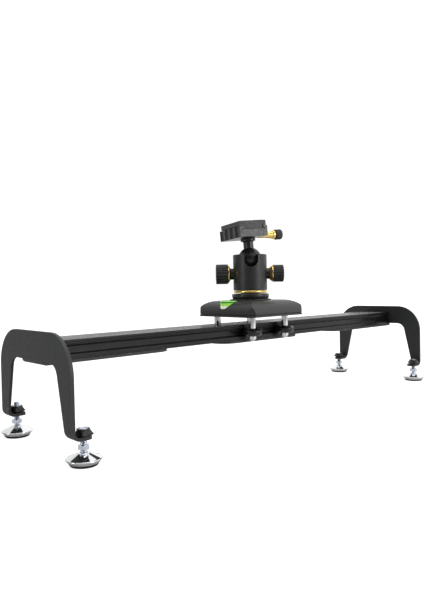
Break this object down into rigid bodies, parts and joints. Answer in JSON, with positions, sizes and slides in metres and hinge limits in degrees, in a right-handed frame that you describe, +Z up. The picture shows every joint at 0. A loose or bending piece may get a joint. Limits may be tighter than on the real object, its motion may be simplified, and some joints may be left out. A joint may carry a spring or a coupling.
{
  "type": "camera slider",
  "caption": "Tabletop camera slider: ribbed rail on bent sheet legs with levelling feet, and a roller carriage that carries a ball head with a quick-release clamp.",
  "frame": {"origin": "on the floor under the middle of the rail, midway between the four feet", "axes": "+X along the rail, +Y across it, +Z up; the front side is -Y"},
  "size_m": [0.6056, 0.169, 0.234],
  "materials": {
    "powder_coat": "fine satin powder coat",
    "black_anodised": "satin black anodised extrusion",
    "satin_black": "satin black",
    "black_plastic": "moulded, fine grain",
    "black_rubber": "matt",
    "chrome": "polished",
    "zinc": "bright zinc plate",
    "steel": "plain steel",
    "gold": "gold anodised, polished",
    "level_green": "bright green liquid behind clear plastic"
  },
  "bodies": {
    "slider_frame": {"rail": "black_anodised", "end_plate_left": "powder_coat", "end_plate_right": "powder_coat", "tripod_plate": "powder_coat", "end_screw_left": "steel", "centre_screw_left": "steel", "centre_screw_right": "steel", "end_screw_right": "steel"},
    "carriage": {"carriage_base": "satin_black", "carriage_gasket": "black_rubber", "carriage_shell": "satin_black", "carriage_top_disc": "satin_black", "head_bolt": "steel", "spirit_level": "level_green", "pan_base": "black_anodised", "roller_bolt_front_left": "chrome", "roller_bolt_rear_left": "chrome", "roller_bolt_front_right": "chrome", "roller_bolt_rear_right": "chrome", "roller_nut_front_left": "chrome", "roller_nut_rear_left": "chrome", "roller_nut_front_right": "chrome", "roller_nut_rear_right": "chrome"},
    "ball_housing": {"ball_housing": "satin_black", "pan_trim_ring": "gold"},
    "main_lock": {"main_lock_knob": "black_plastic", "main_lock_knob_collar": "gold"},
    "pan_lock": {"pan_lock_knob": "black_plastic", "pan_lock_knob_collar": "gold"},
    "ball": {"ball_stem": "black_anodised"},
    "clamp": {"clamp_body": "black_anodised"},
    "clamp_jaw": {"clamp_jaw": "black_anodised"},
    "clamp_knob": {"clamp_knob": "black_plastic", "clamp_knob_cone": "gold"},
    "release_plate": {"release_plate": "satin_black"},
    "camera_screw": {"camera_screw": "steel"},
    "roller_front_left": {"roller_front_left": "black_plastic"},
    "foot_front_left": {"foot_pad_front_left": "black_rubber", "foot_cup_front_left": "chrome"},
    "stud_front_left": {"foot_stud_front_left": "zinc", "foot_nut_front_left": "zinc"},
    "foot_lock_front_left": {"foot_knob_front_left": "black_plastic"},
    "roller_rear_left": {"roller_rear_left": "black_plastic"},
    "foot_rear_left": {"foot_pad_rear_left": "black_rubber", "foot_cup_rear_left": "chrome"},
    "stud_rear_left": {"foot_stud_rear_left": "zinc", "foot_nut_rear_left": "zinc"},
    "foot_lock_rear_left": {"foot_knob_rear_left": "black_plastic"},
    "roller_front_right": {"roller_front_right": "black_plastic"},
    "foot_front_right": {"foot_pad_front_right": "black_rubber", "foot_cup_front_right": "chrome"},
    "stud_front_right": {"foot_stud_front_right": "zinc", "foot_nut_front_right": "zinc"},
    "foot_lock_front_right": {"foot_knob_front_right": "black_plastic"},
    "roller_rear_right": {"roller_rear_right": "black_plastic"},
    "foot_rear_right": {"foot_pad_rear_right": "black_rubber", "foot_cup_rear_right": "chrome"},
    "stud_rear_right": {"foot_stud_rear_right": "zinc", "foot_nut_rear_right": "zinc"},
    "foot_lock_rear_right": {"foot_knob_rear_right": "black_plastic"}
  },
  "joints": [
    {"name": "carriage_slide", "type": "slide", "parent": "slider_frame", "child": "carriage", "axis": [1, 0, 0], "range_m": [-0.24, 0.246]},
    {"name": "roller_spin_front_left", "type": "hinge", "parent": "carriage", "child": "roller_front_left", "pos_m": [-0.0336, -0.0308, 0.0947], "axis": [0, 0, 1], "continuous": true},
    {"name": "roller_spin_rear_left", "type": "hinge", "parent": "carriage", "child": "roller_rear_left", "pos_m": [-0.0336, 0.0308, 0.0947], "axis": [0, 0, 1], "continuous": true},
    {"name": "roller_spin_front_right", "type": "hinge", "parent": "carriage", "child": "roller_front_right", "pos_m": [0.0264, -0.0308, 0.0947], "axis": [0, 0, 1], "continuous": true},
    {"name": "roller_spin_rear_right", "type": "hinge", "parent": "carriage", "child": "roller_rear_right", "pos_m": [0.0264, 0.0308, 0.0947], "axis": [0, 0, 1], "continuous": true},
    {"name": "foot_height_front_left", "type": "slide", "parent": "slider_frame", "child": "foot_front_left", "axis": [0, 0, 1], "range_m": [-0.006, 0.0034]},
    {"name": "foot_turn_front_left", "type": "hinge", "parent": "foot_front_left", "child": "stud_front_left", "pos_m": [-0.2868, -0.0685, 0.02], "axis": [0, 0, 1], "range_deg": [-2160, 1224]},
    {"name": "foot_lock_turn_front_left", "type": "hinge", "parent": "slider_frame", "child": "foot_lock_front_left", "pos_m": [-0.2868, -0.0685, 0.029], "axis": [0, 0, 1], "range_deg": [0, 720]},
    {"name": "foot_height_rear_left", "type": "slide", "parent": "slider_frame", "child": "foot_rear_left", "axis": [0, 0, 1], "range_m": [-0.006, 0.0034]},
    {"name": "foot_turn_rear_left", "type": "hinge", "parent": "foot_rear_left", "child": "stud_rear_left", "pos_m": [-0.2868, 0.0685, 0.02], "axis": [0, 0, 1], "range_deg": [-2160, 1224]},
    {"name": "foot_lock_turn_rear_left", "type": "hinge", "parent": "slider_frame", "child": "foot_lock_rear_left", "pos_m": [-0.2868, 0.0685, 0.029], "axis": [0, 0, 1], "range_deg": [0, 720]},
    {"name": "foot_height_front_right", "type": "slide", "parent": "slider_frame", "child": "foot_front_right", "axis": [0, 0, 1], "range_m": [-0.006, 0.0034]},
    {"name": "foot_turn_front_right", "type": "hinge", "parent": "foot_front_right", "child": "stud_front_right", "pos_m": [0.2868, -0.0685, 0.02], "axis": [0, 0, 1], "range_deg": [-2160, 1224]},
    {"name": "foot_lock_turn_front_right", "type": "hinge", "parent": "slider_frame", "child": "foot_lock_front_right", "pos_m": [0.2868, -0.0685, 0.029], "axis": [0, 0, 1], "range_deg": [0, 720]},
    {"name": "foot_height_rear_right", "type": "slide", "parent": "slider_frame", "child": "foot_rear_right", "axis": [0, 0, 1], "range_m": [-0.006, 0.0034]},
    {"name": "foot_turn_rear_right", "type": "hinge", "parent": "foot_rear_right", "child": "stud_rear_right", "pos_m": [0.2868, 0.0685, 0.02], "axis": [0, 0, 1], "range_deg": [-2160, 1224]},
    {"name": "foot_lock_turn_rear_right", "type": "hinge", "parent": "slider_frame", "child": "foot_lock_rear_right", "pos_m": [0.2868, 0.0685, 0.029], "axis": [0, 0, 1], "range_deg": [0, 720]},
    {"name": "head_pan", "type": "hinge", "parent": "carriage", "child": "ball_housing", "pos_m": [-0.0036, 0, 0.148], "axis": [0, 0, 1], "continuous": true},
    {"name": "main_lock_turn", "type": "hinge", "parent": "ball_housing", "child": "main_lock", "pos_m": [-0.0036, 0, 0.1665], "axis": [-0.7547, 0.6561, 0], "range_deg": [0, 360]},
    {"name": "pan_lock_turn", "type": "hinge", "parent": "ball_housing", "child": "pan_lock", "pos_m": [-0.0036, 0, 0.1665], "axis": [0.7547, -0.6561, 0], "range_deg": [0, 360]},
    {"name": "ball_tilt", "type": "hinge", "parent": "ball_housing", "child": "ball", "pos_m": [-0.0036, 0, 0.1855], "axis": [0.7524, -0.654, 0.0785], "range_deg": [-40, 90]},
    {"name": "clamp_spin", "type": "hinge", "parent": "ball", "child": "clamp", "pos_m": [-0.00516, 0.00135, 0.21172], "axis": [-0.0592, 0.0515, 0.9969], "continuous": true},
    {"name": "jaw_slide", "type": "slide", "parent": "clamp", "child": "clamp_jaw", "axis": [0.9521, -0.2972, 0.0719], "range_m": [0, 0.003]},
    {"name": "clamp_knob_turn", "type": "hinge", "parent": "clamp_jaw", "child": "clamp_knob", "pos_m": [-0.00533, 0.0015, 0.21461], "axis": [0.9521, -0.2972, 0.0719], "range_deg": [0, 1350]},
    {"name": "release_plate_slide", "type": "slide", "parent": "clamp", "child": "release_plate", "axis": [0.3, 0.9534, -0.0314], "range_m": [-0.01, 0.01]},
    {"name": "camera_screw_turn", "type": "hinge", "parent": "release_plate", "child": "camera_screw", "pos_m": [-0.01089, 0.00358, 0.2245], "axis": [-0.0592, 0.0515, 0.9969], "continuous": true}
  ],
  "couplings": [
    {"joint": "roller_spin_front_left", "follows": "carriage_slide", "rad_per_m": 84.7},
    {"joint": "roller_spin_rear_left", "follows": "carriage_slide", "rad_per_m": -84.7},
    {"joint": "roller_spin_front_right", "follows": "carriage_slide", "rad_per_m": 84.7},
    {"joint": "roller_spin_rear_right", "follows": "carriage_slide", "rad_per_m": -84.7},
    {"joint": "foot_turn_front_left", "follows": "foot_height_front_left", "rad_per_m": 6283.2},
    {"joint": "foot_turn_rear_left", "follows": "foot_height_rear_left", "rad_per_m": 6283.2},
    {"joint": "foot_turn_front_right", "follows": "foot_height_front_right", "rad_per_m": 6283.2},
    {"joint": "foot_turn_rear_right", "follows": "foot_height_rear_right", "rad_per_m": 6283.2},
    {"joint": "clamp_knob_turn", "follows": "jaw_slide", "rad_per_m": 7854}
  ]
}
